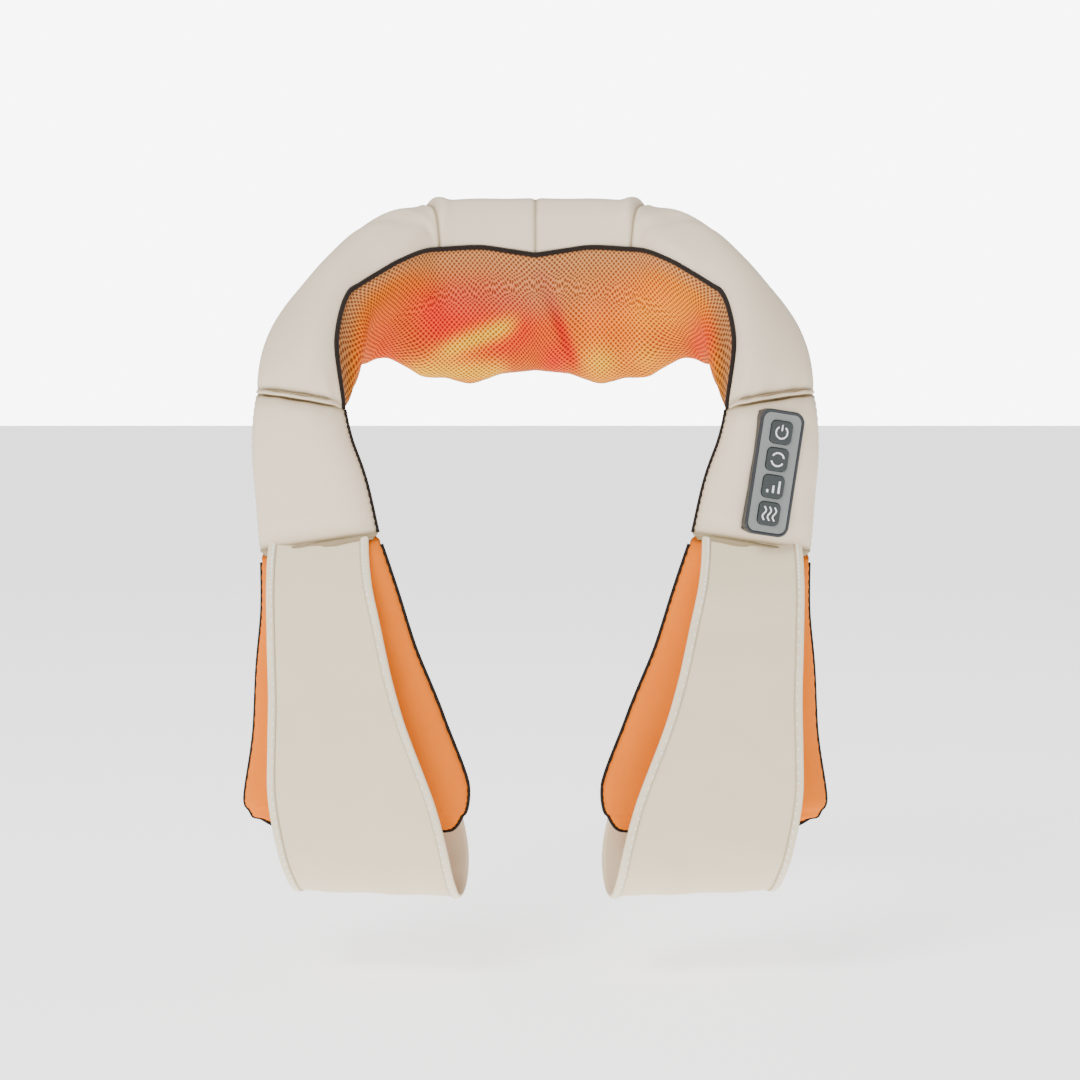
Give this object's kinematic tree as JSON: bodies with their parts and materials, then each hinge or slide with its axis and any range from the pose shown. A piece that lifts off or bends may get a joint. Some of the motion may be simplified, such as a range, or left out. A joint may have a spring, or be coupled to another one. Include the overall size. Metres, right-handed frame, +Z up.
{
  "type": "shiatsu neck massager",
  "caption": "U-shaped neck and shoulder massager with two geared rotating kneading heads behind a mesh cover, padded arms with hand straps and a four-key panel.",
  "frame": {"origin": "middle of the collar's mesh face, where it lies against the neck", "axes": "+Z up as worn, -Y towards the front of the wearer, +X towards the arm with the control panel"},
  "size_m": [0.416, 0.2261, 0.494],
  "materials": {
    "housing_plastic": "moulded, fine texture",
    "plated_steel": "zinc plated",
    "bright_steel": "ground",
    "rotor_iron": "laminated iron",
    "bronze": "sintered",
    "black_plastic": "moulded",
    "circuit_board": "solder mask",
    "red_lamp": "clear red epoxy",
    "gear_nylon": "moulded nylon",
    "node_rubber": "soft silicone",
    "orange_mesh": "knitted spacer mesh",
    "foam": "open-cell foam",
    "brown_piping": "piped edge",
    "orange_fabric": "smooth knit",
    "strap_webbing": "smooth coated band with a stitched hem",
    "beige_leather": "fine-grained synthetic leather, satin",
    "beige_lining": "smooth knit",
    "panel_dark": "satin",
    "panel_grey": "speckled, fine texture",
    "key_dark": "matt silicone"
  },
  "bodies": {
    "collar": {"rear_housing": "housing_plastic", "front_housing": "housing_plastic", "motor_can": "plated_steel", "motor_end_caps": "black_plastic", "motor_clamp": "plated_steel", "shaft_bushes": "bronze", "housing_screws": "bright_steel", "heat_board": "circuit_board", "heat_lamps": "red_lamp", "drive_board": "circuit_board", "dc_jack": "black_plastic", "collar_panel_left": "beige_leather", "collar_panel_right": "beige_leather", "left_shoulder_cover": "beige_leather", "right_shoulder_cover": "beige_leather", "collar_foam": "foam", "left_shoulder_foam": "foam", "right_shoulder_foam": "foam", "mesh_cover": "orange_mesh", "collar_piping": "brown_piping"},
    "drive_shaft": {"motor_shaft": "bright_steel", "motor_rotor": "rotor_iron", "left_worm": "bright_steel", "right_worm": "bright_steel"},
    "left_head": {"left_worm_wheel": "gear_nylon", "left_output_shaft": "bright_steel", "left_node_carrier": "housing_plastic", "left_massage_nodes": "node_rubber", "left_carrier_screw": "bright_steel"},
    "left_arm": {"left_arm_cover": "beige_leather", "left_arm_lining": "beige_lining", "left_arm_foam": "foam", "left_arm_piping": "brown_piping"},
    "left_pad": {"left_hand_pad_front": "orange_fabric", "left_hand_pad_back": "orange_fabric", "left_hand_pad_foam": "foam", "left_hand_pad_piping": "brown_piping", "left_hand_strap": "strap_webbing"},
    "right_head": {"right_worm_wheel": "gear_nylon", "right_output_shaft": "bright_steel", "right_node_carrier": "housing_plastic", "right_massage_nodes": "node_rubber", "right_carrier_screw": "bright_steel"},
    "right_arm": {"right_arm_cover": "beige_leather", "right_arm_lining": "beige_lining", "right_arm_foam": "foam", "right_arm_piping": "brown_piping", "control_panel_base": "panel_dark", "control_panel_face": "panel_grey", "key_board": "circuit_board"},
    "right_pad": {"right_hand_pad_front": "orange_fabric", "right_hand_pad_back": "orange_fabric", "right_hand_pad_foam": "foam", "right_hand_pad_piping": "brown_piping", "right_hand_strap": "strap_webbing"},
    "power_button": {"power_key": "key_dark"},
    "direction_button": {"direction_key": "key_dark"},
    "speed_button": {"speed_key": "key_dark"},
    "heat_button": {"heat_key": "key_dark"}
  },
  "joints": [
    {"name": "left_head_spin", "type": "hinge", "parent": "collar", "child": "left_head", "pos_m": [-0.064, 0.03, -0.012], "axis": [0, -1, 0], "continuous": true},
    {"name": "right_head_spin", "type": "hinge", "parent": "collar", "child": "right_head", "pos_m": [0.064, 0.03, -0.012], "axis": [0, -1, 0], "continuous": true},
    {"name": "worm_spin", "type": "hinge", "parent": "collar", "child": "drive_shaft", "pos_m": [0, 0.048, 0.01175], "axis": [1, 0, 0], "continuous": true},
    {"name": "left_arm_bend", "type": "hinge", "parent": "collar", "child": "left_arm", "pos_m": [-0.165, -0.081, -0.064], "axis": [-0.9621, 0.2711, -0.0301], "range_deg": [-20, 60], "stiffness_Nm_per_rad": 2},
    {"name": "left_pad_fold", "type": "hinge", "parent": "left_arm", "child": "left_pad", "pos_m": [-0.1515, -0.092, -0.165], "axis": [-0.9798, 0.2, 0], "range_deg": [-25, 40], "stiffness_Nm_per_rad": 1.2},
    {"name": "right_arm_bend", "type": "hinge", "parent": "collar", "child": "right_arm", "pos_m": [0.165, -0.081, -0.064], "axis": [-0.9621, -0.2711, 0.0301], "range_deg": [-20, 60], "stiffness_Nm_per_rad": 2},
    {"name": "right_pad_fold", "type": "hinge", "parent": "right_arm", "child": "right_pad", "pos_m": [0.1515, -0.092, -0.165], "axis": [-0.9798, -0.2, 0], "range_deg": [-25, 40], "stiffness_Nm_per_rad": 1.2},
    {"name": "power_press", "type": "slide", "parent": "right_arm", "child": "power_button", "axis": [-0.29, 0.957, 0], "range_m": [0, 0.0008], "stiffness_N_per_m": 900, "springref_m": -0.0004},
    {"name": "direction_press", "type": "slide", "parent": "right_arm", "child": "direction_button", "axis": [-0.29, 0.957, 0], "range_m": [0, 0.0008], "stiffness_N_per_m": 900, "springref_m": -0.0004},
    {"name": "speed_press", "type": "slide", "parent": "right_arm", "child": "speed_button", "axis": [-0.29, 0.957, 0], "range_m": [0, 0.0008], "stiffness_N_per_m": 900, "springref_m": -0.0004},
    {"name": "heat_press", "type": "slide", "parent": "right_arm", "child": "heat_button", "axis": [-0.29, 0.957, 0], "range_m": [0, 0.0008], "stiffness_N_per_m": 900, "springref_m": -0.0004}
  ],
  "couplings": [
    {"joint": "right_head_spin", "follows": "left_head_spin", "ratio": -1},
    {"joint": "worm_spin", "follows": "left_head_spin", "ratio": 30}
  ]
}
